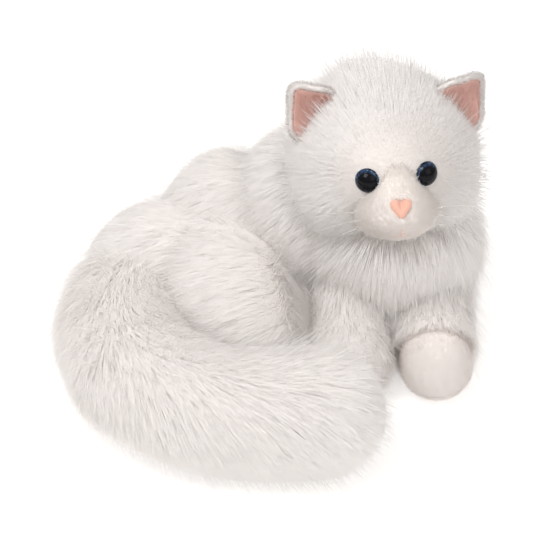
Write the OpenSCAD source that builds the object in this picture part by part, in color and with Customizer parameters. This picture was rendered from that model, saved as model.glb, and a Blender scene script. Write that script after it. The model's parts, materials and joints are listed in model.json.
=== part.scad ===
// Lying plush cat: a long-haired stuffed toy, curled up with its tail swept round in front of it.
// Frame: the origin is on the floor under the middle of the body and +Z is up. The cat faces -Y.
// Left and right are the cat's own sides, so its left side is at +X.
// The long pile stands about 13 mm off the covers and isn't part of these solids.

/* [Covers] */
// Thickness of a cover: cloth backing with its dense underpile
cover_t = 5; // [4:0.5:6]
// Gap between two pieces that move against each other
joint_gap = 1; // [0.7:0.1:1.4]
// Gap between a cover and what lies against it
fit_gap = 0.3; // [0.2:0.1:0.4]

/* [Body] */
// Distance from the middle of the chest to the middle of the rump
body_span = 176; // [172:1:180]
// Width of the chest
chest_w = 116; // [112:1:118]
// Height of the shoulders above the floor
shoulder_h = 153; // [149:1:157]
// Height of the middle of the back above the floor
back_h = 127; // [123:1:131]
// Height of the rump above the floor
rump_h = 103; // [99:1:107]
// Thickness of the flat panel sewn in under the body
panel_t = 3; // [2:0.5:4]

/* [Head] */
// Width of the skull across the cheeks
head_w = 118; // [114:1:120]
// Depth of the skull from face to nape
head_d = 108; // [104:1:110]
// Height of the skull
head_h = 109; // [105:1:111]
// Height of the middle of the head above the floor
head_z = 158; // [156:1:162]
// Turn of the face to the left of straight ahead, in degrees
face_turn = 7; // [4:0.5:10]
// Greatest turn of the head to either side, in degrees
turn_limit = 20; // [10:1:20]
// Greatest nod of the head up or down, in degrees
nod_limit = 10; // [5:1:10]

/* [Face] */
// Diameter of an eye dome
eye_d = 18; // [16:0.5:19]
// Distance between the middles of the eyes
eye_spacing = 42; // [40:1:44]
// How much lower the right eye is set than the left
right_eye_drop = 2.5; // [0:0.5:3]
// Width of the muzzle
muzzle_w = 56; // [52:1:58]
// Width of the nose
nose_w = 15; // [12:0.5:16]
// Length of a whisker outside the muzzle
whisker_len = 42; // [30:1:46]

/* [Ears] */
// Width of an ear along its seam
ear_w = 52; // [48:1:54]
// Height of an ear from its seam to its tip
ear_h = 36; // [32:1:40]
// Thickness of an ear
ear_t = 7; // [6:0.5:8]
// How far an ear folds forward, in degrees
ear_fold_front = 35; // [20:1:35]
// How far an ear folds back, in degrees
ear_fold_back = 25; // [15:1:25]

/* [Front legs] */
// Diameter of the rounded shoulder end of a front leg
leg_d = 56; // [52:1:56]
// Distance between the two front legs, middle to middle
leg_spacing = 61; // [60:1:63]
// Distance from the shoulder end to the middle of the paw
leg_reach = 71; // [68:1:74]
// Width of a front paw
paw_w = 54; // [50:1:56]
// Greatest lift of a front leg, in degrees
leg_lift = 25; // [15:1:25]

/* [Tail] */
// Diameter of the tail cover at its thickest
tail_d = 78; // [74:1:80]
// Greatest swing of the tail away from the body, in degrees
tail_swing = 30; // [15:1:30]
// Greatest swing of the outer half of the tail away from the body, in degrees
tail_curl = 35; // [15:1:35]

/* [Filling] */
// Diameter of the pellet pouch
pouch_d = 58; // [50:1:60]
// Height of the pellet pouch
pouch_h = 22; // [20:1:24]
// Diameter of one plastic pellet
pellet_d = 6; // [5:0.5:6.5]

/* [Hidden] */

white = "WhiteSmoke";
fibre = "Ivory";
pink = "RosyBrown";
left = 1;
right = -1;
far = 400;
blob_fn = 24;
form_fn = 20;
space_fn = 16;
ball_fn = 32;
round_fn = 48;
cut_fn = 24;
thread_fn = 8;

// Places of the body's main masses: middle and half sizes
chest_at = [89, 5, 74];
chest_r = [chest_w / 2, 48, 72];
shoulder_at = [28, 33, 74];
shoulder_r = [56, 48, shoulder_h - shoulder_at.z];
back_at = [-32, 36, 62];
back_r = [56, 50, back_h - back_at.z];
rump_at = [chest_at.x - body_span, 2, 50];
rump_r = [50, 48, rump_h - rump_at.z];
belly_r = [58, 46, 34];
belly_z = 27;
belly_places = [[70, 2, belly_z], [0, 4, belly_z], [-68, 2, belly_z]];
panel_end = 66;
panel_r = 22;

// Head, with the pivot of both neck joints at its middle
head_at = [80.5, 0, head_z];
skull_r = [head_w / 2, head_d / 2, head_h / 2];
cheek_at = [27, -14, -16];
cheek_r = [30, 34, 30];
neck_ball_r = 20;
neck_shaft_r = 13;
neck_foot_z = 78;
neck_cone_r = 30;
head_play = 3.5;

// Face, from the middle of the head
muzzle_at = [0, -50, -18];
muzzle_r = [muzzle_w / 2, 26, 18];
bridge_at = [0, -42, 5];
bridge_r = [16, 15, 18];
eye_at = [eye_spacing / 2, -48, 9];
eye_yaw = 26;
eye_pitch = 15;
eye_dome_h = 6;
eye_base_t = 1.5;
eye_post_r = 2.4;
eye_post_len = 13;
washer_r = 6.5;
washer_t = 1.2;
nose_at = [0, -69, -6];
nose_tilt = -35;
mouth_at = [0, -74.2, -25];
thread_r = 0.6;
whisker_r = 0.4;
whisker_rows = [-5, 0, 5];
whisker_root = [21, -61, -18];
whisker_depth = 3;
whisker_fan = 12;

// Ears, from the middle of the head: the seam's middle, its lean, and the rounded corners
ear_at = [46.4, 0, 28];
ear_lean = 58;
ear_corners = [
    [-ear_w / 2 + 5, 0, 5],
    [ear_w / 2 - 5, 0, 5],
    [-ear_w / 2 + 6, ear_h * 0.4, 8],
    [ear_w / 5, ear_h * 0.42, 7],
    [-ear_w / 4, ear_h - 9, 9]
];
lining_inset = 3.5;
lining_t = 2.5;

// Front legs: shoulder ends, then the elbow and the paw from the shoulder end
leg_mid_x = 86.5;
shoulder_end = [0, -10, 42];
elbow_at = [1, -leg_reach / 2, -14];
elbow_r = 25;
paw_at = [2, -leg_reach, -18];
paw_r = [paw_w / 2, 28, 24];
paw_seam_y = -58;

// Haunches and hind feet: hip, knee and foot, each with its middle and half sizes
right_haunch = [[[-36, -22, 50], [46, 46, 46]], [[-12, -70, 34], [28, 32, 32]]];
left_haunch = [[[-58, 52, 44], [44, 36, 42]], [[-22, 66, 28], [26, 24, 28]]];
right_foot = [[2, -84, 12], [18, 18, 13]];
left_foot = [[4, 78, 12], [24, 16, 13]];

// Tail: the places that its two halves pass through
tail_z = tail_d / 2;
tail_root = [-108, -28, tail_z];
tail_base_path = [tail_root, [-113, -72, tail_z], [-98, -118, tail_z], [-64, -148, tail_z]];
tail_pivot = tail_base_path[3];
tail_tip_path = [tail_pivot, [-36, -158, tail_z], [-4, -162, tail_z], [32, -160, tail_z]];
tail_ball_r = tail_d / 2 - 1;

// Pellet pouch, in a hollow of the body's stuffing
pouch_at = [-6, 4, 12];
pouch_wall = 1;
pellet_pitch = pellet_d + 1.4;

// ---- Shared forms ----

// A rounded mass with its middle and half sizes, turned about the vertical
module blob(at, radii, turn = 0, facets = blob_fn)
    translate(at)
        rotate([0, 0, turn])
            hull()
                scale(radii)
                    sphere(r = 1, $fn = facets);

// Everything below the floor
module underground()
    translate([-far, -far, -far])
        cube([2 * far, 2 * far, far]);

// A tube with rounded ends through a list of places
module tube(path, r, facets = blob_fn)
    for (i = [0 : len(path) - 2])
        hull() {
            translate(path[i])
                sphere(r = r, $fn = facets);
            translate(path[i + 1])
                sphere(r = r, $fn = facets);
        }

module at_head()
    translate(head_at)
        rotate([0, 0, face_turn])
            children();

// Mirrors what is drawn on the left side for the right side
module on_side(side)
    mirror([side == left ? 0 : 1, 0, 0])
        children();

// ---- Outlines of the pieces, grown or shrunk by a distance ----

module torso_form(grow, facets = blob_fn) {
    margin = [grow, grow, grow];
    blob(chest_at, chest_r + margin, 0, facets);
    blob(shoulder_at, shoulder_r + margin, 0, facets);
    blob(back_at, back_r + margin, 0, facets);
    blob(rump_at, rump_r + margin, 0, facets);
    for (place = belly_places)
        blob(place, belly_r + margin, 0, facets);
}

// The skull and both cheeks, about the middle of the head
module head_masses(grow, facets = blob_fn) {
    margin = [grow, grow, grow];
    blob([0, 0, 0], skull_r + margin, 0, facets);
    for (side = [left, right])
        blob([side * cheek_at.x, cheek_at.y, cheek_at.z], cheek_r + margin, 0, facets);
}

module head_form(grow, facets = blob_fn)
    at_head()
        head_masses(grow, facets);

// The muzzle with the bridge of the nose, which runs up between the eyes
module muzzle_form(grow, facets = blob_fn)
    at_head()
        hull() {
            blob(muzzle_at, muzzle_r + [grow, grow, grow], 0, facets);
            blob(bridge_at, bridge_r + [grow, grow, grow], 0, facets);
        }

module haunch_form(haunch, grow, facets = blob_fn)
    hull()
        for (mass = haunch)
            blob(mass[0], mass[1] + [grow, grow, grow], 0, facets);

module leg_form(grow, facets = form_fn) {
    margin = [grow, grow, grow];
    hull() {
        sphere(r = leg_d / 2 + grow, $fn = facets);
        translate(elbow_at)
            sphere(r = elbow_r + grow, $fn = facets);
    }
    hull() {
        translate(elbow_at)
            sphere(r = elbow_r + grow, $fn = facets);
        blob(paw_at, paw_r + margin, 0, facets);
    }
}

module at_shoulder(side)
    translate([leg_mid_x + side * leg_spacing / 2, shoulder_end.y, shoulder_end.z])
        on_side(side)
            children();

// ---- Room that the moving pieces need in the body ----

// What is drawn, at each way that the head turns and nods
module over_head_travel()
    translate(head_at)
        hull()
            for (turn = [-turn_limit, 0, turn_limit], nod = [-nod_limit, nod_limit])
                rotate([0, 0, face_turn + turn])
                    rotate([nod, 0, 0])
                        children();

module head_space() {
    over_head_travel()
        head_masses(head_play, space_fn);
    over_head_travel()
        blob(muzzle_at, muzzle_r + 2 * joint_gap * [1, 1, 1], 0, space_fn);
}

module leg_space(side)
    at_shoulder(side)
        hull()
            for (lift = [0, leg_lift / 2, leg_lift])
                rotate([-lift, 0, 0])
                    leg_form(2 * joint_gap, space_fn);

module tail_space()
    translate(tail_root)
        hull()
            for (swing = [0, tail_swing / 2, tail_swing], i = [0 : 1])
                rotate([0, 0, -swing])
                    translate(tail_base_path[i] - tail_root)
                        sphere(r = tail_d / 2 + 2 * joint_gap, $fn = form_fn);

module moving_space() {
    head_space();
    leg_space(left);
    leg_space(right);
    tail_space();
}

// ---- Body ----

module panel_outline(grow, facets = round_fn) {
    for (end = [-panel_end, panel_end])
        translate([end, 0])
            circle(r = panel_r + grow, $fn = facets);
    square([2 * panel_end, 2 * (panel_r + grow)], center = true);
}

module base_panel()
    color("Gainsboro")
        linear_extrude(panel_t)
            panel_outline(0);

module panel_space()
    translate([0, 0, -1])
        linear_extrude(panel_t + 1 + fit_gap)
            panel_outline(fit_gap, cut_fn);

module torso_cover()
    color(white)
        difference() {
            torso_form(0);
            torso_form(-cover_t, space_fn);
            moving_space();
            underground();
            panel_space();
        }

module torso_stuffing()
    color(fibre)
        difference() {
            torso_form(-cover_t - fit_gap, space_fn);
            moving_space();
            underground();
            panel_space();
            translate([head_at.x, head_at.y, neck_foot_z - fit_gap])
                cylinder(r = neck_shaft_r + joint_gap, h = far, $fn = cut_fn);
            translate(pouch_at - [0, 0, fit_gap])
                cylinder(r = pouch_d / 2 + 2 * fit_gap, h = pouch_h + 2 * fit_gap, $fn = cut_fn);
            translate([pouch_at.x, pouch_at.y, -1])
                cylinder(r = pouch_d / 4, h = pouch_at.z + 2, $fn = cut_fn);
        }

module pellet_pouch()
    color("LightGray")
        translate(pouch_at)
            difference() {
                cylinder(r = pouch_d / 2, h = pouch_h, $fn = round_fn);
                translate([0, 0, pouch_wall])
                    cylinder(r = pouch_d / 2 - pouch_wall, h = pouch_h - 2 * pouch_wall, $fn = round_fn);
            }

// Pellets in even rows and layers, wherever the pouch has room for a whole one
module pellets() {
    room = pouch_d / 2 - pouch_wall - pellet_d / 2;
    rows = floor(room / pellet_pitch);
    layers = floor((pouch_h - 2 * pouch_wall) / pellet_pitch);
    color("SlateGray")
        translate(pouch_at + [0, 0, pouch_wall + pellet_pitch / 2])
            for (i = [-rows : rows], j = [-rows : rows], k = [0 : layers - 1])
                if (norm([i, j]) * pellet_pitch <= room)
                    translate([i, j, k] * pellet_pitch)
                        sphere(d = pellet_d, $fn = ball_fn);
}

module haunch_cover(haunch)
    color(white)
        difference() {
            haunch_form(haunch, 0);
            haunch_form(haunch, -cover_t, form_fn);
            torso_form(fit_gap);
            moving_space();
            underground();
            panel_space();
        }

module haunch_stuffing(haunch)
    color(fibre)
        difference() {
            haunch_form(haunch, -cover_t - fit_gap, form_fn);
            torso_form(fit_gap);
            moving_space();
            underground();
            panel_space();
        }

module hind_foot(foot, haunch)
    color(white)
        difference() {
            blob(foot[0], foot[1]);
            haunch_form(haunch, fit_gap);
            torso_form(fit_gap);
            underground();
        }

module right_haunch_cover() haunch_cover(right_haunch);
module right_haunch_stuffing() haunch_stuffing(right_haunch);
module left_haunch_cover() haunch_cover(left_haunch);
module left_haunch_stuffing() haunch_stuffing(left_haunch);
module right_hind_foot() hind_foot(right_foot, right_haunch);
module left_hind_foot() hind_foot(left_foot, left_haunch);

// ---- Neck ----

// Firmly packed core of the neck: the head nods on its ball and turns about its shaft
module neck_core()
    color(fibre)
        translate(head_at) {
            sphere(r = neck_ball_r, $fn = round_fn);
            translate([0, 0, neck_foot_z - head_z])
                cylinder(r = neck_shaft_r, h = head_z - neck_foot_z, $fn = round_fn);
        }

// The room inside the head in which the neck's ball and shaft move
module neck_space()
    translate(head_at) {
        sphere(r = neck_ball_r + joint_gap, $fn = cut_fn);
        translate([0, 0, -head_h])
            cylinder(r1 = neck_cone_r * 1.7, r2 = neck_shaft_r + joint_gap, h = head_h, $fn = cut_fn);
    }

// ---- Head ----

module at_ear(side)
    at_head()
        on_side(side)
            translate(ear_at)
                rotate([0, ear_lean, 0])
                    children();

// An ear's rounded outline grown by a distance, with a depth to the front and back
module ear_form(grow, depth, facets = form_fn)
    hull()
        for (corner = ear_corners)
            translate([corner[0], 0, corner[1]])
                scale([1, depth / (corner[2] + grow), 1])
                    sphere(r = corner[2] + grow, $fn = facets);

module ear_space(side)
    at_ear(side)
        hull()
            for (fold = [-ear_fold_back, 0, ear_fold_front])
                rotate([fold, 0, 0])
                    ear_form(joint_gap, ear_t / 2 + joint_gap, 12);

module at_eye(side)
    at_head()
        translate([side * eye_at.x, eye_at.y, eye_at.z - (side == right ? right_eye_drop : 0)])
            rotate([0, 0, side * eye_yaw])
                rotate([90 - eye_pitch, 0, 0])
                    children();

// The room that an eye's base, post and washer take in the cover and the stuffing
module eye_space(side)
    at_eye(side) {
        translate([0, 0, -fit_gap])
            cylinder(r = eye_d / 2 + fit_gap, h = far / 8, $fn = space_fn);
        translate([0, 0, -eye_post_len - fit_gap])
            cylinder(r = eye_post_r + fit_gap, h = eye_post_len, $fn = space_fn);
        translate([0, 0, -eye_post_len * 0.75 - fit_gap])
            cylinder(r = washer_r + fit_gap, h = washer_t + 2 * fit_gap, $fn = space_fn);
    }

module head_cuts() {
    neck_space();
    for (side = [left, right]) {
        ear_space(side);
        eye_space(side);
    }
}

module head_cover()
    color(white)
        difference() {
            head_form(0);
            head_form(-cover_t, form_fn);
            head_cuts();
        }

module head_stuffing()
    color(fibre)
        difference() {
            head_form(-cover_t - fit_gap, form_fn);
            head_cuts();
        }

module muzzle_cover()
    color(white)
        difference() {
            muzzle_form(0);
            muzzle_form(-cover_t / 2, form_fn);
            head_form(fit_gap);
            neck_space();
            at_nose()
                nose_solid(fit_gap);
            at_mouth()
                mouth_solid(fit_gap);
            for (side = [left, right]) {
                whisker_set(side, fit_gap / 2);
                eye_space(side);
            }
        }

module muzzle_stuffing()
    color(fibre)
        difference() {
            muzzle_form(-cover_t / 2 - fit_gap, form_fn);
            head_form(fit_gap);
            neck_space();
            at_nose()
                nose_solid(fit_gap);
            at_mouth()
                mouth_solid(fit_gap);
            for (side = [left, right]) {
                whisker_set(side, fit_gap / 2);
                eye_space(side);
            }
        }

module at_nose()
    at_head()
        translate(nose_at)
            rotate([nose_tilt, 0, 0])
                children();

// A soft heart: two rounded lobes above and a rounded point below
module nose_solid(grow)
    hull() {
        for (side = [left, right])
            translate([side * nose_w / 4, 0, nose_w / 6])
                sphere(r = nose_w / 4 + grow, $fn = space_fn);
        translate([0, 0, -nose_w / 3])
            sphere(r = nose_w / 6 + grow, $fn = space_fn);
    }

module nose()
    color(pink)
        at_nose()
            nose_solid(0);

module at_mouth()
    at_head()
        translate(mouth_at)
            children();

// One short straight stitch across and one down from it
module mouth_solid(grow) {
    for (side = [left, right])
        hull() {
            sphere(r = thread_r + grow, $fn = thread_fn);
            translate([side * 5, 2, -2])
                sphere(r = thread_r + grow, $fn = thread_fn);
        }
    hull() {
        sphere(r = thread_r + grow, $fn = thread_fn);
        translate([0, -1.8, 5])
            sphere(r = thread_r + grow, $fn = thread_fn);
    }
}

module mouth_stitch()
    color(pink)
        at_mouth()
            mouth_solid(0);

// A clear or dark dome with a flat back
module eye_lens(side)
    color("MidnightBlue")
        at_eye(side)
            translate([0, 0, eye_base_t])
                difference() {
                    dome_r = (pow(eye_d / 2, 2) + pow(eye_dome_h, 2)) / (2 * eye_dome_h);
                    translate([0, 0, eye_dome_h - dome_r])
                        sphere(r = dome_r, $fn = round_fn);
                    translate([0, 0, -far / 2])
                        cube(far, center = true);
                }

module eye_base(side)
    color("Black")
        at_eye(side) {
            cylinder(r = eye_d / 2, h = eye_base_t, $fn = round_fn);
            translate([0, 0, -eye_post_len])
                cylinder(r = eye_post_r, h = eye_post_len, $fn = round_fn);
        }

module eye_washer(side)
    color("Gray")
        at_eye(side)
            translate([0, 0, -eye_post_len * 0.75])
                difference() {
                    cylinder(r = washer_r, h = washer_t, $fn = round_fn);
                    translate([0, 0, -1])
                        cylinder(r = eye_post_r, h = washer_t + 2, $fn = round_fn);
                }

module right_eye_lens() eye_lens(right);
module left_eye_lens() eye_lens(left);
module right_eye_base() eye_base(right);
module left_eye_base() eye_base(left);
module right_eye_washer() eye_washer(right);
module left_eye_washer() eye_washer(left);

// Three nylon whiskers that fan out from one side of the muzzle
module whisker_set(side, grow)
    at_head()
        on_side(side)
            for (row = whisker_rows)
                translate(whisker_root + [0, 0, row])
                    rotate([0, 90 - row * whisker_fan / 6, -8])
                        translate([0, 0, -whisker_depth])
                            cylinder(r = whisker_r + grow, h = whisker_len + whisker_depth, $fn = 16);

module right_whiskers()
    color("White")
        whisker_set(right, 0);

module left_whiskers()
    color("White")
        whisker_set(left, 0);

// ---- Ears ----

// The lining lies in a hollow of the ear's front
module lining_form(grow)
    translate([0, -ear_t / 2, 0])
        ear_form(grow - lining_inset, lining_t + grow);

module ear_back(side)
    color(white)
        at_ear(side)
            difference() {
                ear_form(0, ear_t / 2);
                lining_form(fit_gap);
            }

module ear_lining(side)
    color(pink)
        at_ear(side)
            intersection() {
                ear_form(0, ear_t / 2);
                lining_form(0);
            }

module right_ear_back() ear_back(right);
module left_ear_back() ear_back(left);
module right_ear_lining() ear_lining(right);
module left_ear_lining() ear_lining(left);

// ---- Front legs ----

module beyond_paw_seam(gap)
    translate([-far, paw_seam_y - far - gap, -far])
        cube([2 * far, far, 2 * far]);

module leg_shell() {
    difference() {
        leg_form(0, blob_fn);
        leg_form(-cover_t);
    }
}

module leg_cover(side)
    color(white)
        difference() {
            at_shoulder(side)
                difference() {
                    leg_shell();
                    beyond_paw_seam(0);
                }
            underground();
        }

module paw_cover(side)
    color(white)
        difference() {
            at_shoulder(side)
                intersection() {
                    leg_shell();
                    beyond_paw_seam(fit_gap);
                }
            underground();
        }

module leg_stuffing(side)
    color(fibre)
        difference() {
            at_shoulder(side)
                leg_form(-cover_t - fit_gap);
            underground();
        }

module right_leg_cover() leg_cover(right);
module right_paw_cover() paw_cover(right);
module right_leg_stuffing() leg_stuffing(right);
module left_leg_cover() leg_cover(left);
module left_paw_cover() paw_cover(left);
module left_leg_stuffing() leg_stuffing(left);

// ---- Tail ----

module tail_tip_space()
    hull()
        for (i = [0 : 1])
            translate(tail_tip_path[i])
                sphere(r = tail_d / 2 + 2 * fit_gap, $fn = blob_fn);

module tail_base_cover()
    color(white)
        difference() {
            tube(tail_base_path, tail_d / 2);
            tube(tail_base_path, tail_d / 2 - cover_t, form_fn);
            tail_tip_space();
            underground();
        }

module tail_base_stuffing()
    color(fibre)
        difference() {
            tube(tail_base_path, tail_d / 2 - cover_t - fit_gap, form_fn);
            tail_tip_space();
            underground();
        }

module tail_tip_cover()
    color(white)
        difference() {
            tube(tail_tip_path, tail_ball_r);
            tube(tail_tip_path, tail_ball_r - cover_t, form_fn);
            underground();
        }

module tail_tip_stuffing()
    color(fibre)
        difference() {
            tube(tail_tip_path, tail_ball_r - cover_t - fit_gap, form_fn);
            underground();
        }

// ---- Nodes ----

torso_cover();
torso_stuffing();
base_panel();
pellet_pouch();
pellets();
right_haunch_cover();
right_haunch_stuffing();
left_haunch_cover();
left_haunch_stuffing();
right_hind_foot();
left_hind_foot();
neck_core();
head_cover();
head_stuffing();
muzzle_cover();
muzzle_stuffing();
nose();
mouth_stitch();
right_eye_lens();
left_eye_lens();
right_eye_base();
left_eye_base();
right_eye_washer();
left_eye_washer();
right_whiskers();
left_whiskers();
right_ear_back();
right_ear_lining();
left_ear_back();
left_ear_lining();
right_leg_cover();
right_leg_stuffing();
right_paw_cover();
left_leg_cover();
left_leg_stuffing();
left_paw_cover();
tail_base_cover();
tail_base_stuffing();
tail_tip_cover();
tail_tip_stuffing();
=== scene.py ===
"""Looks of the lying plush cat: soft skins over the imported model, and the pile that grows on them.

Every length is in metres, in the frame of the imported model: +Z is up and the cat faces -Y.
Left and right are the cat's own sides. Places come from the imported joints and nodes.
"""

import json
import math

import bmesh
import bpy
import numpy as np
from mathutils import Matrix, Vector
from mathutils.bvhtree import BVHTree
from mathutils.kdtree import KDTree


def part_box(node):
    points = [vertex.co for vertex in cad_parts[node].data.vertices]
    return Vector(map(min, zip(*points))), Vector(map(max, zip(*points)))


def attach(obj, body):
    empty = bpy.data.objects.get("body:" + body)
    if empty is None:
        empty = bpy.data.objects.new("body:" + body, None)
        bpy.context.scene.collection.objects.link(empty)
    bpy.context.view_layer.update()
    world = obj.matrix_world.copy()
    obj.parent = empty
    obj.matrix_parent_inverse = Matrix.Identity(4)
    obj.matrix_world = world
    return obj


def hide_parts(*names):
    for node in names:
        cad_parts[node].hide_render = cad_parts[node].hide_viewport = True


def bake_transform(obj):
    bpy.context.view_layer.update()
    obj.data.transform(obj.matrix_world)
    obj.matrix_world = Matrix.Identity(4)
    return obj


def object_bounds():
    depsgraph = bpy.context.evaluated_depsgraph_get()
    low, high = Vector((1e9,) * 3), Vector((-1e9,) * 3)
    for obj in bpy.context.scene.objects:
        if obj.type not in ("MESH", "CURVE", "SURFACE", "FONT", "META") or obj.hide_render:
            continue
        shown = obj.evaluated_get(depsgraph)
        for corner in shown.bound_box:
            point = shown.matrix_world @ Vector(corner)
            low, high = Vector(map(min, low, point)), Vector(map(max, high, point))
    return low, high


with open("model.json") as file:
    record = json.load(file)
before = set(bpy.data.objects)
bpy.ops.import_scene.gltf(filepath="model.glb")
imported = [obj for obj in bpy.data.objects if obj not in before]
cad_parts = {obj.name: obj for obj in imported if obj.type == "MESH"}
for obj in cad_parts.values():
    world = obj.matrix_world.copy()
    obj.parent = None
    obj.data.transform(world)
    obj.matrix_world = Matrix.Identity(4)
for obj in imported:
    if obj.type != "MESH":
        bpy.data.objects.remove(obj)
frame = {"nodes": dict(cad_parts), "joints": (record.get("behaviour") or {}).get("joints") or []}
cad_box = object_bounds()
joints = {j["name"]: j for j in frame["joints"]}
nodes = frame["nodes"]
LEFT, RIGHT = 1, -1
SIDES = (("right", RIGHT), ("left", LEFT))
FLOOR_GAP = 0.0003

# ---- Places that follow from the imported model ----


def joint_at(name):
    return np.array(joints[name]["pos_m"], float)


head_at = joint_at("head_nod")
side_axis = np.array(joints["head_nod"]["axis"], float)
side_axis /= np.linalg.norm(side_axis)
up_axis = np.array([0.0, 0.0, 1.0])
back_axis = np.cross(up_axis, side_axis)
head_turn = np.stack([side_axis, back_axis, up_axis], 1)


def from_head(points):
    """Places in the frame of points given from the head's nod axis, x to its left and -y forwards."""
    return np.asarray(points, float) @ head_turn.T + head_at


def to_head(points):
    return (np.asarray(points, float) - head_at) @ head_turn


def middle_of(node):
    low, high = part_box(node)
    return np.array((low + high) / 2)


nose_at = middle_of("nose")
eye_places = {name: middle_of(f"{name}_eye_lens") for name, side in SIDES}
tail_root = joint_at("tail_swing")
tail_bend = joint_at("tail_curl")
tip_low, tip_high = (np.array(c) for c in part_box("tail_tip_cover"))
tail_path = np.array([
    tail_root,
    tail_root + (-0.006, -0.045, 0),
    (tail_root + tail_bend) / 2 + (-0.016, -0.022, 0),
    tail_bend,
    (tip_low[0] + 0.060, tip_low[1] + 0.038, tail_bend[2]),
    (tip_high[0] - 0.036, tip_low[1] + 0.038, tail_bend[2]),
])

# ---- Mesh helpers ----


def link(name, data):
    piece = bpy.data.objects.new(name, data)
    bpy.context.scene.collection.objects.link(piece)
    return piece


def node_arrays(names):
    """Vertices and triangles of CAD nodes, put together."""
    verts, tris, start = [], [], 0
    for name in names:
        mesh = nodes[name].data
        mesh.calc_loop_triangles()
        co = np.empty(len(mesh.vertices) * 3, np.float32)
        mesh.vertices.foreach_get("co", co)
        tri = np.empty(len(mesh.loop_triangles) * 3, np.int32)
        mesh.loop_triangles.foreach_get("vertices", tri)
        verts.append(co.reshape(-1, 3).astype(float))
        tris.append(tri.reshape(-1, 3) + start)
        start += len(mesh.vertices)
    return np.concatenate(verts), np.concatenate(tris)


def mesh_from(name, verts, faces):
    mesh = bpy.data.meshes.new(name)
    mesh.from_pydata(np.asarray(verts).tolist(), [], np.asarray(faces).tolist())
    mesh.update()
    return mesh


def shade_smooth(mesh):
    mesh.polygons.foreach_set("use_smooth", np.ones(len(mesh.polygons), bool))
    mesh.update()


def coordinates(mesh):
    co = np.empty(len(mesh.vertices) * 3, np.float32)
    mesh.vertices.foreach_get("co", co)
    return co.reshape(-1, 3).astype(float)


def set_coordinates(mesh, co):
    mesh.vertices.foreach_set("co", np.asarray(co, np.float32).ravel())
    mesh.update()


def apply_modifiers(piece):
    """The piece's mesh as its modifiers leave it, with the modifiers gone."""
    graph = bpy.context.evaluated_depsgraph_get()
    done = bpy.data.meshes.new_from_object(piece.evaluated_get(graph))
    piece.modifiers.clear()
    old = piece.data
    piece.data = done
    bpy.data.meshes.remove(old)
    return piece


def remeshed(name, node_names, voxel):
    """One closed skin round the named CAD nodes."""
    piece = link(name, mesh_from(name, *node_arrays(node_names)))
    remesh = piece.modifiers.new("Remesh", "REMESH")
    remesh.mode = "VOXEL"
    remesh.voxel_size = voxel
    apply_modifiers(piece)
    keep_largest(piece.data)
    return piece


def keep_largest(mesh):
    """Drops every island of the mesh but the one with the most vertices."""
    count = len(mesh.vertices)
    edges = np.empty(len(mesh.edges) * 2, np.int32)
    mesh.edges.foreach_get("vertices", edges)
    edges = edges.reshape(-1, 2)
    label = np.arange(count)
    while True:
        low = np.minimum(label[edges[:, 0]], label[edges[:, 1]])
        new = label.copy()
        np.minimum.at(new, edges[:, 0], low)
        np.minimum.at(new, edges[:, 1], low)
        new = new[new]
        if np.array_equal(new, label):
            break
        label = new
    names, sizes = np.unique(label, return_counts=True)
    loose = np.nonzero(label != names[sizes.argmax()])[0]
    if len(loose):
        bm = bmesh.new()
        bm.from_mesh(mesh)
        bm.verts.ensure_lookup_table()
        bmesh.ops.delete(bm, geom=[bm.verts[i] for i in loose], context="VERTS")
        bm.to_mesh(mesh)
        bm.free()


def off_floor(co, gap=FLOOR_GAP):
    co[..., 2] = np.maximum(co[..., 2], gap)
    return co


def relax(mesh, steps, strength=0.5):
    """Evens out the mesh: each step moves every vertex part of the way to the mean of its neighbours."""
    co = coordinates(mesh)
    edges = np.empty(len(mesh.edges) * 2, np.int32)
    mesh.edges.foreach_get("vertices", edges)
    a, b = edges[0::2], edges[1::2]
    count = np.maximum(np.bincount(np.concatenate([a, b]), minlength=len(co)), 1)
    for _ in range(steps):
        mean = np.stack([
            np.bincount(a, co[b, k], len(co)) + np.bincount(b, co[a, k], len(co)) for k in range(3)
        ], 1) / count[:, None]
        co = co + strength * (mean - co)
    set_coordinates(mesh, off_floor(co))


def puff(mesh, amount):
    """Moves every vertex outwards by the amount, which makes up for what relaxing takes away."""
    set_coordinates(mesh, off_floor(coordinates(mesh) + amount * vertex_normals(mesh)))


def vertex_normals(mesh):
    normals = np.empty(len(mesh.vertices) * 3, np.float32)
    mesh.vertices.foreach_get("normal", normals)
    return normals.reshape(-1, 3).astype(float)


def tree_of(piece):
    mesh = piece.data
    return BVHTree.FromPolygons(
        [v.co for v in mesh.vertices], [tuple(p.vertices) for p in mesh.polygons]
    )


def clearance(points, trees, reach):
    """How far each point is outside the other skins, up to reach, and less than 0 inside one."""
    gaps = np.full(len(points), reach)
    for tree in trees:
        for i, point in enumerate(points):
            near, normal, _, distance = tree.find_nearest(point, reach)
            if near is not None:
                outside = (Vector(point) - near).dot(normal) >= 0
                gaps[i] = min(gaps[i], distance if outside else -distance)
    return gaps


SWELL_FRAMES = 20


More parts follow.
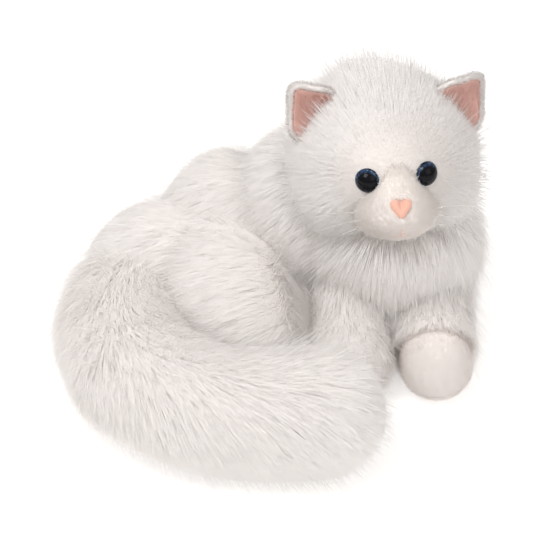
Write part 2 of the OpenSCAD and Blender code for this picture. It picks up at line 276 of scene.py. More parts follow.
def swell(piece, pressure, cap, hold):
    """Fills the skin like a cushion: a cloth under pressure, moved by no more than cap anywhere. hold is
    how firmly each vertex stays where it is, from 0 to 1."""
    start = coordinates(piece.data)
    group = piece.vertex_groups.new(name="held")
    for i in np.nonzero(hold > 0.01)[0]:
        group.add([int(i)], float(hold[i]), "REPLACE")
    cloth = piece.modifiers.new("Cloth", "CLOTH")
    settings = cloth.settings
    settings.quality = 5
    settings.mass = 0.3
    settings.tension_stiffness = 12
    settings.compression_stiffness = 12
    settings.bending_stiffness = 0.6
    settings.use_pressure = True
    settings.uniform_pressure_force = pressure
    settings.effector_weights.gravity = 0
    settings.vertex_group_mass = "held"
    cloth.collision_settings.use_collision = False
    cloth.collision_settings.use_self_collision = False
    cloth.point_cache.frame_start = 1
    cloth.point_cache.frame_end = SWELL_FRAMES
    scene = bpy.context.scene
    for step in range(1, SWELL_FRAMES + 1):
        scene.frame_set(step)
    apply_modifiers(piece)
    piece.vertex_groups.clear()
    scene.frame_set(1)
    move = coordinates(piece.data) - start
    far = np.linalg.norm(move, axis=1)
    move *= (np.minimum(far, cap) / np.maximum(far, 1e-9))[:, None]
    set_coordinates(piece.data, off_floor(start + move))


def subdivided(piece):
    sub = piece.modifiers.new("Subdivision", "SUBSURF")
    sub.levels = 1
    sub.render_levels = 1
    apply_modifiers(piece)
    set_coordinates(piece.data, off_floor(coordinates(piece.data)))
    shade_smooth(piece.data)


# ---- Materials ----


class Paint:
    """A material with one Principled shader, and short ways to add nodes to it."""

    def __init__(self, name):
        self.material = bpy.data.materials.new(name)
        self.material.use_nodes = True
        self.tree = self.material.node_tree
        self.shader = self.tree.nodes["Principled BSDF"]

    def node(self, kind, **values):
        made = self.tree.nodes.new("ShaderNode" + kind)
        for name, value in values.items():
            if hasattr(made, name):
                setattr(made, name, value)
            else:
                made.inputs[name.replace("_", " ")].default_value = value
        return made

    def join(self, output, target):
        self.tree.links.new(output, target)

    def set(self, **values):
        for name, value in values.items():
            self.shader.inputs[name.replace("_", " ")].default_value = value

    def ramp(self, factor, stops):
        """A colour ramp with stops of (place, colour)."""
        made = self.node("ValToRGB")
        ramp = made.color_ramp
        while len(ramp.elements) < len(stops):
            ramp.elements.new(0.5)
        for element, (place, colour) in zip(ramp.elements, stops):
            element.position = place
            element.color = (*colour, 1)
        self.join(factor, made.inputs["Fac"])
        return made.outputs["Color"]

    def noise(self, scale, detail=3.0, roughness=0.5):
        where = self.node("TexCoord")
        made = self.node("TexNoise", Scale=scale, Detail=detail, Roughness=roughness)
        self.join(where.outputs["Object"], made.inputs["Vector"])
        return made.outputs["Fac"]

    def distance_from_axis(self, place, axis):
        """How far each point is from the line through a place along an axis."""
        where = self.node("TexCoord")
        offset = self.node("VectorMath", operation="SUBTRACT")
        offset.inputs[1].default_value = place
        self.join(where.outputs["Object"], offset.inputs[0])
        turned = self.node("VectorMath", operation="CROSS_PRODUCT")
        turned.inputs[1].default_value = axis
        self.join(offset.outputs["Vector"], turned.inputs[0])
        length = self.node("VectorMath", operation="LENGTH")
        self.join(turned.outputs["Vector"], length.inputs[0])
        return length.outputs["Value"]

    def scaled(self, value, factor):
        made = self.node("Math", operation="MULTIPLY")
        made.inputs[1].default_value = factor
        self.join(value, made.inputs[0])
        return made.outputs["Value"]

    def bump(self, height, strength, distance):
        made = self.node("Bump", Strength=strength, Distance=distance)
        self.join(height, made.inputs["Height"])
        self.join(made.outputs["Normal"], self.shader.inputs["Normal"])

    def wear(self, piece):
        piece.data.materials.clear()
        piece.data.materials.append(self.material)
        return piece


def hair_paint(name, root, tip, shade):
    """Pile: each strand goes from root to tip colour; short strands are painted a little darker, a painted
    shade standing in for the self-shadowing of deep pile; and light passes through them all."""
    paint = Paint(name)
    where = paint.node("UVMap", uv_map="OFBake")
    parts = paint.node("SeparateXYZ")
    paint.join(where.outputs["UV"], parts.inputs["Vector"])
    along = paint.ramp(parts.outputs["Y"], [(0.0, root), (0.75, tip)])
    # Painted shade: U holds strand length, and short strands are darkened towards the shade colour,
    # standing in for the self-shadowing of deep pile; a tenth of U is random, the pile's own uneven colour.
    length_shade_and_tone = paint.ramp(parts.outputs["X"], [(0.0, shade), (0.75, (1, 1, 1)), (1.0, (1, 1, 1))])
    mix = paint.node("Mix", data_type="RGBA", blend_type="MULTIPLY")
    mix.inputs[0].default_value = 1.0
    paint.join(along, mix.inputs[6])
    paint.join(length_shade_and_tone, mix.inputs[7])
    paint.join(mix.outputs[2], paint.shader.inputs["Base Color"])
    paint.set(Roughness=0.8, Specular_IOR_Level=0.1)
    through = paint.node("BsdfTranslucent")
    paint.join(mix.outputs[2], through.inputs["Color"])
    blend = paint.node("MixShader")
    blend.inputs[0].default_value = 0.5
    paint.join(paint.shader.outputs[0], blend.inputs[1])
    paint.join(through.outputs[0], blend.inputs[2])
    paint.join(blend.outputs[0], paint.tree.nodes["Material Output"].inputs["Surface"])
    return paint


def cloth_paint(name, colour, scale=900.0, depth=0.0006):
    """Backing cloth or short plush: mottled colour and a fine nap."""
    paint = Paint(name)
    mottle = paint.noise(60.0, 4.0)
    dark = tuple(c * 0.95 for c in colour)
    paint.join(paint.ramp(mottle, [(0.3, dark), (0.7, colour)]), paint.shader.inputs["Base Color"])
    paint.set(Roughness=0.9, Specular_IOR_Level=0.15, Sheen_Weight=0.2, Sheen_Roughness=0.5)
    paint.bump(paint.noise(scale, 2.0), 0.4, depth)
    return paint


def plain_paint(name, colour, roughness, **more):
    paint = Paint(name)
    paint.set(Base_Color=(*colour, 1), Roughness=roughness, **more)
    return paint


def eye_paint(name, place, axis):
    """A glossy dome: black pupil, dark blue iris with paler flecks in it, and a black rim."""
    paint = Paint(name)
    reach = paint.scaled(paint.distance_from_axis(place, axis), 1 / EYE_R)
    fleck = paint.noise(700.0, 2.0, 0.6)
    iris = paint.ramp(fleck, [
        (0.42, (0.010, 0.020, 0.055)), (0.55, (0.030, 0.060, 0.120)), (0.72, (0.16, 0.27, 0.40)),
    ])
    black = (0.004, 0.004, 0.006)
    ring = paint.ramp(reach, [
        (0.0, (0, 0, 0)), (0.76, (0, 0, 0)), (0.83, (0.6, 0.6, 0.6)),
        (0.91, (1, 1, 1)), (0.96, (0.2, 0.2, 0.2)), (1.0, (0, 0, 0)),
    ])
    mix = paint.node("Mix", data_type="RGBA")
    paint.join(ring, mix.inputs[0])
    mix.inputs[6].default_value = (*black, 1)
    paint.join(iris, mix.inputs[7])
    paint.join(mix.outputs[2], paint.shader.inputs["Base Color"])
    paint.set(Roughness=0.05, Specular_IOR_Level=0.13)
    return paint


EYE_R = 0.009
# Each pile's third colour is the painted shade that short strands are darkened towards. The clipped piles
# (white_pile, short_pile) and short_backing are darker than the long pile: partly the clipped plush's own
# cream colour, partly painted shade standing in for the self-shadowing of deep pile and the shade on the
# downward-facing muzzle.
long_pile = hair_paint("long_pile", (0.988, 0.970, 0.959), (0.994, 0.983, 0.975), (0.97, 0.957, 0.95))
white_pile = hair_paint("white_pile", (0.94, 0.915, 0.90), (0.975, 0.96, 0.95), (0.98, 0.97, 0.965))
short_pile = hair_paint("short_pile", (0.94, 0.915, 0.895), (0.96, 0.938, 0.92), (0.965, 0.95, 0.94))
pink_pile = hair_paint("pink_pile", (0.88, 0.63, 0.57), (0.93, 0.73, 0.68), (0.97, 0.95, 0.94))
backing = cloth_paint("backing", (0.96, 0.945, 0.935))
short_backing = cloth_paint("short_backing", (0.93, 0.905, 0.885))
pink_backing = cloth_paint("pink_backing", (0.86, 0.60, 0.54))
nose_cloth = cloth_paint("nose_cloth", (0.79, 0.46, 0.36), 1500.0, 0.0002)
thread_paint = plain_paint("thread", (0.78, 0.54, 0.48), 0.7)
whisker_paint = plain_paint("whisker", (0.95, 0.94, 0.90), 0.25, Transmission_Weight=0.6)
fibre_paint = plain_paint("fibre", (0.90, 0.89, 0.86), 0.95)
washer_paint = plain_paint("washer", (0.70, 0.70, 0.70), 0.5)
stem_paint = plain_paint("stem", (0.01, 0.01, 0.012), 0.3)

# ---- Soft skins ----

SKINS = {
    "body_skin": (
        ["torso_cover", "torso_stuffing", "right_haunch_cover", "right_haunch_stuffing",
         "left_haunch_cover", "left_haunch_stuffing", "base_panel", "pellet_pouch", "pellets"],
        "torso", 0.0050, 14, 0.0015),
    "head_skin": (["head_cover", "head_stuffing"], "head", 0.0040, 10, 0.0010),
    "muzzle_skin": (["muzzle_cover", "muzzle_stuffing"], "head", 0.0022, 6, 0.0003),
    "right_leg_skin": (
        ["right_leg_cover", "right_leg_stuffing", "right_paw_cover"], "right_front_leg", 0.0035, 8, 0.0005),
    "left_leg_skin": (
        ["left_leg_cover", "left_leg_stuffing", "left_paw_cover"], "left_front_leg", 0.0035, 8, 0.0005),
    "tail_skin": (
        ["tail_base_cover", "tail_base_stuffing", "tail_tip_cover", "tail_tip_stuffing"],
        "tail_base", 0.0045, 12, 0.0010),
    "right_hind_foot_skin": (["right_hind_foot"], "torso", 0.0025, 4, 0.0),
    "left_hind_foot_skin": (["left_hind_foot"], "torso", 0.0025, 4, 0.0),
    "right_ear_skin": (["right_ear_back"], "right_ear", 0.0014, 5, 0.0002),
    "left_ear_skin": (["left_ear_back"], "left_ear", 0.0014, 5, 0.0002),
    "right_ear_lining_skin": (["right_ear_lining"], "right_ear", 0.0008, 4, 0.0004),
    "left_ear_lining_skin": (["left_ear_lining"], "left_ear", 0.0008, 4, 0.0004),
    "nose_skin": (["nose"], "head", 0.0008, 5, 0.0004),
}
SWOLLEN = ("body_skin", "head_skin", "right_leg_skin", "left_leg_skin", "tail_skin")
SLOT_OF = {"muzzle": "short_plush", "foot": "short_plush", "lining": "pink_plush", "ear": "short_plush",
           "nose": "nose_cloth"}
PAINT_OF = {"short_plush": backing, "pink_plush": pink_backing, "nose_cloth": nose_cloth,
            "long_plush": backing}


def ear_frame(side):
    """Middle of the ear's seam and its own axes: along the seam, to the back, and up to the tip."""
    name = "left" if side == LEFT else "right"
    joint = joints[f"{name}_ear_fold"]
    seam = np.array(joint["axis"], float)
    up = np.cross(seam, -back_axis)
    if up[2] < 0:
        up = -up
    return np.array(joint["pos_m"], float), seam, back_axis, up


def cup_ear(mesh, side):
    """Curls the ear's edges forwards, as the sewn edge of a lined ear does."""
    middle, seam, back, up = ear_frame(side)
    co = coordinates(mesh)
    along = (co - middle) @ seam
    height = (co - middle) @ up
    curl = 0.0045 * (along / 0.020) ** 2 * np.clip(height / 0.020, 0, 1)
    lean = 0.0030 * (np.clip(height, 0, None) / 0.030) ** 2
    co += (lean - curl)[:, None] * back[None, :]
    set_coordinates(mesh, co)


def notch_nose(mesh):
    """A dip between the two lobes of the heart."""
    co = coordinates(mesh)
    local = to_head(co) - to_head(nose_at)
    dip = np.exp(-((local[:, 0] / 0.0022) ** 2)) * np.clip(local[:, 2] / 0.004, 0, 1)
    co -= 0.0030 * dip[:, None] * up_axis
    co += 0.0008 * dip[:, None] * back_axis
    set_coordinates(mesh, co)


def make_skins():
    skins = {}
    for name, (names, body, voxel, steps, extra) in SKINS.items():
        skins[name] = remeshed(name, names, voxel)
        relax(skins[name].data, steps)
        puff(skins[name].data, extra)
    for name, side in SIDES:
        cup_ear(skins[f"{name}_ear_skin"].data, side)
        cup_ear(skins[f"{name}_ear_lining_skin"].data, side)
    notch_nose(skins["nose_skin"].data)
    trees = {name: tree_of(piece) for name, piece in skins.items()}
    for name in SWOLLEN:
        others = [trees[n] for n in skins if SKINS[n][1] != SKINS[name][1]]
        points = coordinates(skins[name].data)
        gaps = clearance(points, others, 0.02)
        hold = np.clip(1.6 - gaps / 0.010, 0, 1)
        hold[points[:, 2] < 0.004] = 1
        swell(skins[name], 4.0, 0.003, hold)
    for piece in skins.values():
        subdivided(piece)
    return skins


# ---- Pile ----

ROOM = np.array(cad_box, float)
ROOM_SHARE, ROOM_PAST = 0.03, 0.009
MOST_TRIANGLES = 190000
BESIDE, CROWDED, TOUCHING = 0.014, 0.0138, 0.0004
LONG_RINGS = (0.0, 0.4, 0.75, 1.0)
SHORT_RINGS = (0.0, 0.55, 1.0)


def scatter(mesh, per_mm2, rng, density=None):
    """Random places on the mesh: points and normals. density thins them out by place."""
    mesh.calc_loop_triangles()
    tri = np.empty(len(mesh.loop_triangles) * 3, np.int32)
    mesh.loop_triangles.foreach_get("vertices", tri)
    tri = tri.reshape(-1, 3)
    co, normals = coordinates(mesh), vertex_normals(mesh)
    a, b, c = co[tri[:, 0]], co[tri[:, 1]], co[tri[:, 2]]
    area = np.linalg.norm(np.cross(b - a, c - a), axis=1) / 2
    if density is not None:
        area = area * density((a + b + c) / 3)
    total = int(area.sum() * 1e6 * per_mm2)
    picked = np.searchsorted(np.cumsum(area), rng.random(total) * area.sum())
    picked = np.minimum(picked, len(tri) - 1)
    u, v = rng.random(total), rng.random(total)
    flip = u + v > 1
    u[flip], v[flip] = 1 - u[flip], 1 - v[flip]
    w = 1 - u - v
    corners = tri[picked]
    share = np.stack([w, u, v], 1)[:, :, None]
    return (share * co[corners]).sum(1), unit((share * normals[corners]).sum(1))


def unit(vectors):
    return vectors / np.maximum(np.linalg.norm(vectors, axis=-1, keepdims=True), 1e-9)


def smooth_step(value, low, high):
    t = np.clip((value - low) / (high - low), 0, 1)
    return t * t * (3 - 2 * t)


def locks_of(points, per_lock, rng):
    """Sorts the strands into locks of neighbours."""
    total = max(1, len(points) // per_lock)
    centres = points[rng.choice(len(points), total, replace=False)]
    near = KDTree(total)
    for i, centre in enumerate(centres):
        near.insert(centre, i)
    near.balance()
    return np.array([near.find(p)[1] for p in points]), total


class Coat:
    """How the pile of one piece grows: lift and fall are a strand's angles from the skin's normal at its
    root and tip, near is the longest a strand may be beside another skin."""

    def __init__(self, comb, length, lift=0.65, fall=1.45, droop=0.20, width=0.00034, per_lock=5, pull=0.06,
                 wander=0.04, rings=LONG_RINGS, density=None, guard=0.07, near=0.024, least=0.8):
        self.comb = comb
        self.length = length
        self.lift = lift
        self.fall = fall
        self.droop = droop
        self.width = width
        self.per_lock = per_lock
        self.pull = pull
        self.wander = wander
        self.rings = rings
        self.density = density
        self.guard = guard
        self.near = near
        self.least = least


def short_coat(comb, length, lift, fall, droop, width, wander):
    """Clipped plush, which stands up more than the long pile."""
    return Coat(comb, length, lift, fall, droop, width, 4, 0.1, wander, SHORT_RINGS)


def strands(points, normals, size, coat, rng):
    """The strands' places at each ring. Locks differ in length and direction, and the tips of a lock
    lean together; a few loose strands stand out longer."""
    lock, total = locks_of(points, coat.per_lock, rng)
    flow = coat.comb(points, normals)
    flat = flow - (flow * normals).sum(1, keepdims=True) * normals
    strength = np.linalg.norm(flat, axis=1, keepdims=True)
    jitter = coat.wander * (rng.normal(size=(total, 3))[lock] + rng.normal(size=flat.shape))
    flat = flat / np.maximum(strength, 1e-6) + jitter
    flat = unit(flat - (flat * normals).sum(1, keepdims=True) * normals)
    tilt = rng.normal(0, 0.01, total)[lock] + rng.normal(0, 0.05, len(points))
    size = size * rng.uniform(0.97, 1.03, total)[lock]
    loose = rng.random(len(points)) < coat.guard
    size[loose] *= rng.uniform(1.15, 1.6, loose.sum())
    tilt[loose] -= 0.30
    path = [points]
    rings = coat.rings
    for i in range(1, len(rings)):
        middle = (rings[i] + rings[i - 1]) / 2
        angle = np.clip(coat.lift + (coat.fall - coat.lift) * middle + tilt, 0.0, 1.62)
        aim = np.cos(angle)[:, None] * normals + np.sin(angle)[:, None] * flat
        aim = unit(aim - coat.droop * middle * up_axis)
        path.append(path[-1] + (size * (rings[i] - rings[i - 1]))[:, None] * aim)
    path = np.stack(path, 1)
    count = np.maximum(np.bincount(lock, minlength=total), 1)
    for i in range(1, len(rings)):
        mean = np.stack([np.bincount(lock, path[:, i, k], total) / count for k in range(3)], 1)
        path[:, i] += np.where(loose, 0.0, coat.pull * rings[i] ** 1.3)[:, None] * (mean[lock] - path[:, i])
    return kept_inside(off_floor(path, 2 * FLOOR_GAP))


def kept_inside(path):
    """Shortens the strands that would leave the room round the CAD parts."""
    grown = ROOM_SHARE * (ROOM[1] - ROOM[0]) + ROOM_PAST
    low, high = ROOM[0] - grown, ROOM[1] + grown
    low[2] = -1.0
    root = path[:, 0]
    reach = path[:, -1] - root
    ahead = (high - root) / np.maximum(reach, 1e-6)
    behind = (low - root) / np.minimum(reach, -1e-6)
    room = np.where(reach > 0, ahead, behind)
    share = np.clip(room.min(1), 0.1, 1.0)[:, None, None]
    return root[:, None] + share * (path - root[:, None])


def ribbons(name, path, width, normals, rng, paint, body, rings, length_shade_and_tone):
    """One mesh of thin tapering ribbons along the strands, facing out from the skin."""
    count, total = path.shape[:2]
    along = unit(path[:, -1] - path[:, 0])
    facing = unit(normals - (normals * along).sum(1, keepdims=True) * along)
    twist = rng.normal(0, 0.2, count)
    across = np.cos(twist)[:, None] * np.cross(along, facing) + np.sin(twist)[:, None] * facing
    steps = total - 1
    taper = np.linspace(1.0, 0.6, steps) if steps > 2 else np.array([1.0, 0.75])
    half = (width / 2)[:, None, None] * taper[None, :, None] * across[:, None, :]
    verts = np.concatenate([path[:, :-1] - half, path[:, :-1] + half, path[:, -1:]], 1)
    local = []
    for i in range(steps - 1):
        local += [i, i + steps, i + 1 + steps, i, i + 1 + steps, i + 1]
    local += [steps - 1, 2 * steps - 1, 2 * steps]
    per = 2 * steps + 1
    index = (np.arange(count)[:, None] * per + np.array(local)[None, :]).astype(np.int32)
    mesh = bpy.data.meshes.new(name)
    mesh.vertices.add(count * per)
    mesh.vertices.foreach_set("co", verts.astype(np.float32).ravel())
    mesh.loops.add(index.size)
    mesh.loops.foreach_set("vertex_index", index.ravel())
    mesh.polygons.add(index.size // 3)
    mesh.polygons.foreach_set("loop_start", np.arange(0, index.size, 3, dtype=np.int32))
    mesh.update(calc_edges=True)
    height = np.concatenate([rings[:-1], rings[:-1], rings[-1:]])[np.array(local)]
    uv = np.empty((count, len(local), 2), np.float32)
    # U: painted shade by strand length, with a small random part; V: root to tip.
    uv[:, :, 0] = 0.02 + 0.96 * length_shade_and_tone[:, None]
    uv[:, :, 1] = 0.02 + 0.96 * height[None, :]
    layer = mesh.uv_layers.new(name="OFBake")
    layer.data.foreach_set("uv", uv.ravel())
    shade_smooth(mesh)
    soft = unit(0.95 * normals + 0.05 * facing + rng.normal(0, 0.02, (count, 3)))
    soft = np.repeat(soft[:, None, :], per, 1)
    mesh.normals_split_custom_set_from_vertices(soft.reshape(-1, 3).astype(np.float32).tolist())
    piece = link(name, mesh)
    paint.wear(piece)
    if body:
        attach(piece, body)
    return piece


def grow(name, skin, body, paint, seed, per_mm2, coat, others, keep_out=None):
    """Grows pile on a skin. Strands near another skin are kept shorter, and none starts inside one.
    keep_out drops places. A pile of many strands is cut across X into several pieces."""
    rng = np.random.default_rng(seed)
    points, normals = scatter(skin.data, per_mm2, rng, coat.density)
    if keep_out is not None:
        free = ~keep_out(points)
        points, normals = points[free], normals[free]
    size = coat.length(points) * rng.uniform(coat.least, 1.1, len(points))
    gaps = clearance(points, others, BESIDE) if others else np.full(len(points), BESIDE)
    size = np.where(gaps < CROWDED, np.minimum(size, coat.near + 1.3 * gaps), size)
    keep = (gaps > TOUCHING) & ((points[:, 2] > 0.0025) | (normals[:, 2] > -0.5))
    points, normals, size = points[keep], normals[keep], size[keep]
    path = strands(points, normals, size, coat, rng)
    # Painted shade: short strands get a low value and so a darker colour in hair_paint, standing in for the
    # self-shadowing of deep pile; the random tenth is the pile's own uneven colour.
    length_shade_and_tone = np.clip(0.9 * smooth_step(size, 0.002, 0.013) + 0.1 * rng.random(len(points)), 0, 1)
    breadth = coat.width * rng.uniform(0.7, 1.3, len(points))
    made = []
    share = MOST_TRIANGLES // (2 * len(coat.rings) - 3)
    cuts = np.array_split(np.argsort(points[:, 0], kind="stable"), 1 + len(points) // share)
    for i, chosen in enumerate(cuts):
        part = name if len(cuts) == 1 else f"{name}_{i + 1}"
        piece = ribbons(part, path[chosen], breadth[chosen], normals[chosen], rng, paint, body, coat.rings,
                        length_shade_and_tone[chosen])
        made.append(piece)
    return made


def tail_flow(points):
    """The tail's direction at each point, towards its tip."""
    mids = (tail_path[1:] + tail_path[:-1]) / 2
    ways = unit(tail_path[1:] - tail_path[:-1])
    gap = np.linalg.norm(points[:, None, :2] - mids[None, :, :2], axis=2)
    weight = np.exp(-((gap / 0.035) ** 2)) + 1e-9
    return unit((weight[:, :, None] * ways[None]).sum(1))


def body_comb(p, n):
    """Down the chest, and along the back and flanks towards the rump."""
    front = smooth_step(p[:, 0], 0.035, 0.085) * smooth_step(-p[:, 1], -0.045, -0.005)
    back = np.array([-1.0, 0.0, -0.75])
    chest = np.array([0.0, -0.35, -1.0])
    return unit(front[:, None] * chest + (1 - front[:, None]) * back)


def head_comb(p, n):
    """Away from the nose, over the crown and down the cheeks."""
    away = unit(p - nose_at)
    sink = smooth_step(nose_at[2] - p[:, 2], -0.03, 0.03)
    return unit(away + sink[:, None] * np.array([0, 0, -0.6]))


def leg_comb(p, n):
    return np.tile(unit(np.array([0.0, -1.0, -0.5])), (len(p), 1))


def down_comb(p, n):
    return np.tile(np.array([0.0, -0.3, -1.0]), (len(p), 1))


def tail_comb(p, n):
    return unit(0.8 * tail_flow(p) + np.array([0, 0, -0.6]))


def ear_comb(side):
    up = ear_frame(side)[3]

    def comb(p, n):
        return np.tile(up, (len(p), 1))
    return comb


def face_distance(p):
    """How far a place on the head is from the nose, less down the bridge than across it."""
    return np.linalg.norm((to_head(p) - to_head(nose_at)) * (1.0, 0.75, 0.85), axis=1)


def head_length(p):
    local = to_head(p)
    far = smooth_step(face_distance(p), 0.034, 0.078)
    low = smooth_step(-local[:, 2], -0.030, 0.010)
    crown = smooth_step(local[:, 2], 0.020, 0.048) * smooth_step(local[:, 1], -0.040, -0.005)
    left = smooth_step(local[:, 0], -0.015, 0.025) * smooth_step(local[:, 2], 0.015, 0.040)
    crown = crown * (1.2 - 0.9 * left)
    cheek = smooth_step(face_distance(p), 0.022, 0.050) * smooth_step(-local[:, 2], -0.005, 0.015)
    long = 0.0140 + 0.0125 * low + 0.0095 * crown - 0.0020 * left
    size = 0.0035 + 0.0055 * cheek * (1 - far) + far * long
    return clear_of_eyes(p, size)


def clear_of_eyes(p, size):
    for place in eye_places.values():
        size = np.minimum(size, 0.002 + 0.45 * np.maximum(np.linalg.norm(p - place, axis=1) - 0.008, 0))
    return size


def head_density(p):
    return 1.0 + 0.9 * (1 - smooth_step(face_distance(p), 0.040, 0.075))


def near_eye(p):
    gone = np.zeros(len(p), bool)
    for place in eye_places.values():
        gone |= np.linalg.norm(p - place, axis=1) < 0.0093
    return gone


def near_nose(p):
    return near_eye(p) | (np.linalg.norm(to_head(p) - to_head(nose_at), axis=1) < 0.0055)


def body_length(p):
    chest = smooth_step(p[:, 0], 0.03, 0.08)
    rump = smooth_step(-p[:, 0], 0.030, 0.075) * smooth_step(p[:, 1], -0.030, 0.010)
    haunch = smooth_step(-p[:, 1], 0.035, 0.065) * smooth_step(-p[:, 0], -0.010, 0.020)
    seat = smooth_step(-p[:, 0], 0.095, 0.125) * (1 - smooth_step(p[:, 2], 0.070, 0.095))
    return 0.0235 + 0.0060 * chest - 0.0075 * rump + 0.0060 * haunch + 0.0070 * seat


def tail_length(p):
    root = smooth_step(-p[:, 0], 0.090, 0.130) * smooth_step(p[:, 2], 0.045, 0.070)
    low = 1 - smooth_step(p[:, 2], 0.012, 0.045)
    end = smooth_step(p[:, 0], 0.030, 0.070)
    outer = low * smooth_step(-p[:, 0], 0.050, 0.100)
    return 0.0245 + 0.0115 * root - 0.0100 * low - 0.0055 * outer - 0.0090 * end


def muzzle_length(p):
    """Clipped round the nose and mouth, longer where it meets the face."""
    away = np.linalg.norm(to_head(p) - to_head(nose_at), axis=1)
    return clear_of_eyes(p, 0.0018 + 0.0050 * smooth_step(away, 0.016, 0.036))


def leg_length(seam_y):
    def length(p):
        above = smooth_step(p[:, 2], 0.020, 0.045)
        return 0.0025 + (0.0130 + 0.0065 * above) * smooth_step(p[:, 1], seam_y - 0.006, seam_y + 0.010)
    return length


def leg_density(seam_y):
    def density(p):
        return 1.0 + 1.4 * (1 - smooth_step(p[:, 1], seam_y - 0.004, seam_y + 0.003))
    return density


def even(size):
    def length(p):
        return np.full(len(p), size)
    return length


# ---- Whiskers ----


def make_whiskers(name, side):
    """Three thin nylon threads, each drooping a little towards its tip."""
    root = from_head((side * 0.021, -0.061, -0.018))
    curves = bpy.data.curves.new(f"{name}_whisker_threads", "CURVE")
    curves.dimensions = "3D"
    curves.bevel_depth = 0.00015
    curves.bevel_resolution = 1
    for row in (-1, 0, 1):
        start = root + (0, 0, 0.005 * row)
        out = unit(side * side_axis * 1.0 + back_axis * -0.12 + up_axis * (0.20 * row))
        line = curves.splines.new("POLY")
        line.points.add(7)
        for i in range(8):
            t = i / 7
            place = start + out * 0.042 * t - up_axis * 0.006 * t * t
            line.points[i].co = (*place, 1)
            line.points[i].radius = 1 - 0.6 * t
    piece = link(f"{name}_whisker_threads", curves)
    curves.materials.append(whisker_paint.material)
    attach(piece, "head")
    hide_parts(f"{name}_whiskers")


# ---- Camera and light ----

LOOK_AT = Vector((0, -0.045, 0.080))
CAMERA_FAR = 1.3
CAMERA_RISE = math.radians(33)
VIEW_WIDTH = 0.408
SKY_LOW, SKY_HIGH = 0.38, 0.90


def make_camera():
    data = bpy.data.cameras.new("camera")
    data.sensor_width = 36
    data.lens = 36 * CAMERA_FAR / VIEW_WIDTH
    data.clip_start = 0.01
    camera = link("camera", data)
    back = Vector((0, -math.cos(CAMERA_RISE), math.sin(CAMERA_RISE)))
    camera.location = LOOK_AT + CAMERA_FAR * back
    camera.rotation_euler = (-back).to_track_quat("-Z", "Y").to_euler()
    bpy.context.scene.camera = camera


def area_light(name, place, target, size, power, colour=(1, 1, 1)):
    data = bpy.data.lights.new(name, "AREA")
    data.size = size
    data.energy = power
    data.color = colour
    lamp = link(name, data)
    lamp.location = place
    lamp.rotation_euler = (Vector(target) - Vector(place)).to_track_quat("-Z", "Y").to_euler()


def make_studio():
    world = bpy.data.worlds.new("studio")
    world.use_nodes = True
    sky = world.node_tree.nodes["Background"]
    way = world.node_tree.nodes.new("ShaderNodeTexCoord")
    parts = world.node_tree.nodes.new("ShaderNodeSeparateXYZ")
    fade = world.node_tree.nodes.new("ShaderNodeMapRange")
    fade.inputs["From Min"].default_value = 0.0
    fade.inputs["From Max"].default_value = 0.9
    fade.inputs["To Min"].default_value = SKY_LOW
    fade.inputs["To Max"].default_value = SKY_HIGH
    world.node_tree.links.new(way.outputs["Generated"], parts.inputs["Vector"])
    world.node_tree.links.new(parts.outputs["Z"], fade.inputs["Value"])
    world.node_tree.links.new(fade.outputs["Result"], sky.inputs["Strength"])
    sky.inputs["Color"].default_value = (1, 0.975, 0.96, 1)
    bpy.context.scene.world = world
    bpy.context.scene.view_settings.view_transform = "Standard"
    area_light("key", (-0.70, -0.75, 1.6), (0, 0, 0.08), 0.9, 17.5, (1, 0.985, 0.97))
    area_light("fill", (1.1, -1.2, 1.1), (0, 0, 0.08), 1.2, 5, (1, 0.97, 0.95))
    half = 6.0
    corners = [(-half, -half, 0), (half, -half, 0), (half, half, 0), (-half, half, 0)]
    floor = link("floor", mesh_from("floor", corners, [(0, 1, 2, 3)]))
    paint = Paint("floor")
    paint.set(Base_Color=(0.70, 0.69, 0.68, 1), Roughness=0.9, Specular_IOR_Level=0.1,
              Emission_Color=(1, 1, 1, 1), Emission_Strength=0.50)
    paint.wear(floor)


bpy.context.scene.cycles.max_bounces = 24
bpy.context.scene.cycles.diffuse_bounces = 16
bpy.context.scene.cycles.transmission_bounces = 24
make_camera()
make_studio()
skins = make_skins()
trees = {name: tree_of(piece) for name, piece in skins.items()}


def others_of(*bodies):
    return [trees[n] for n in skins if SKINS[n][1] not in bodies]


for name, (names, body, *_) in SKINS.items():
    piece = skins[name]
    slot = next((s for word, s in SLOT_OF.items() if word in name), "long_plush")
    (short_backing if name == "muzzle_skin" else PAINT_OF[slot]).wear(piece)
    if name == "tail_skin":
        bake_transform(piece)
    else:
        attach(piece, body)
    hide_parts(*names)

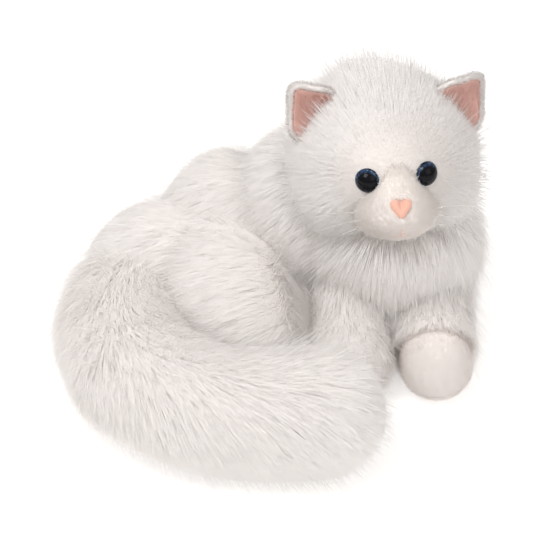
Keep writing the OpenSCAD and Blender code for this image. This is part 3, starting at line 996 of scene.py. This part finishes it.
# The plain parts: each CAD node that no skin stands for wears its own finish
FINISHES = {"neck_core": fibre_paint, "mouth_stitch": thread_paint}
for name, side in SIDES:
    place = eye_places[name]
    low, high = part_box(f"{name}_eye_base")
    axis = unit(np.array(place - (np.array(low) + np.array(high)) / 2))
    FINISHES[f"{name}_eye_lens"] = eye_paint(f"{name}_eye", place, axis)
    FINISHES[f"{name}_eye_base"] = stem_paint
    FINISHES[f"{name}_eye_washer"] = washer_paint
    make_whiskers(name, side)
for name, paint in FINISHES.items():
    paint.wear(nodes[name])

grow("body_fur", skins["body_skin"], "torso", long_pile, 1, 2.0, Coat(body_comb, body_length),
     others_of("torso"))
grow("head_fur", skins["head_skin"], "head", long_pile, 2, 2.4,
     Coat(head_comb, head_length, 0.52, 1.35, 0.15, 0.00032, density=head_density, guard=0.08),
     others_of("head") + [trees["muzzle_skin"]], near_eye)
grow("muzzle_fur", skins["muzzle_skin"], "head", short_pile, 6, 5.0,
     short_coat(head_comb, muzzle_length, 0.6, 1.3, 0.1, 0.00032, 0.10),
     [trees["head_skin"]], near_nose)
for i, (name, side) in enumerate(SIDES):
    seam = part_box(f"{name}_paw_cover")[1][1]
    seam -= 0.026 if side == RIGHT else 0
    grow(f"{name}_leg_fur", skins[f"{name}_leg_skin"], f"{name}_front_leg", long_pile, 3 + i, 2.2,
         Coat(leg_comb, leg_length(seam), width=0.00036, density=leg_density(seam), least=0.5),
         others_of(f"{name}_front_leg"))
    grow(f"{name}_foot_fur", skins[f"{name}_hind_foot_skin"], "torso", white_pile, 8 + i, 3.0,
         short_coat(down_comb, even(0.0030), 0.6, 1.2, 0.1, 0.00032, 0.10),
         [trees["body_skin"]])
    grow(f"{name}_ear_fur", skins[f"{name}_ear_skin"], f"{name}_ear", white_pile, 10 + i, 5.0,
         short_coat(ear_comb(side), even(0.0034), 0.3, 0.8, 0.0, 0.00030, 0.15),
         [trees[f"{name}_ear_lining_skin"]])
    grow(f"{name}_ear_lining_fur", skins[f"{name}_ear_lining_skin"], f"{name}_ear", pink_pile, 12 + i, 5.0,
         short_coat(ear_comb(side), even(0.0024), 0.3, 0.8, 0.0, 0.00028, 0.15),
         None)
tail_piles = grow("tail_fur", skins["tail_skin"], None, long_pile, 5, 2.0, Coat(tail_comb, tail_length),
                  others_of("tail_base"))
for piece in tail_piles:
    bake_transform(piece)
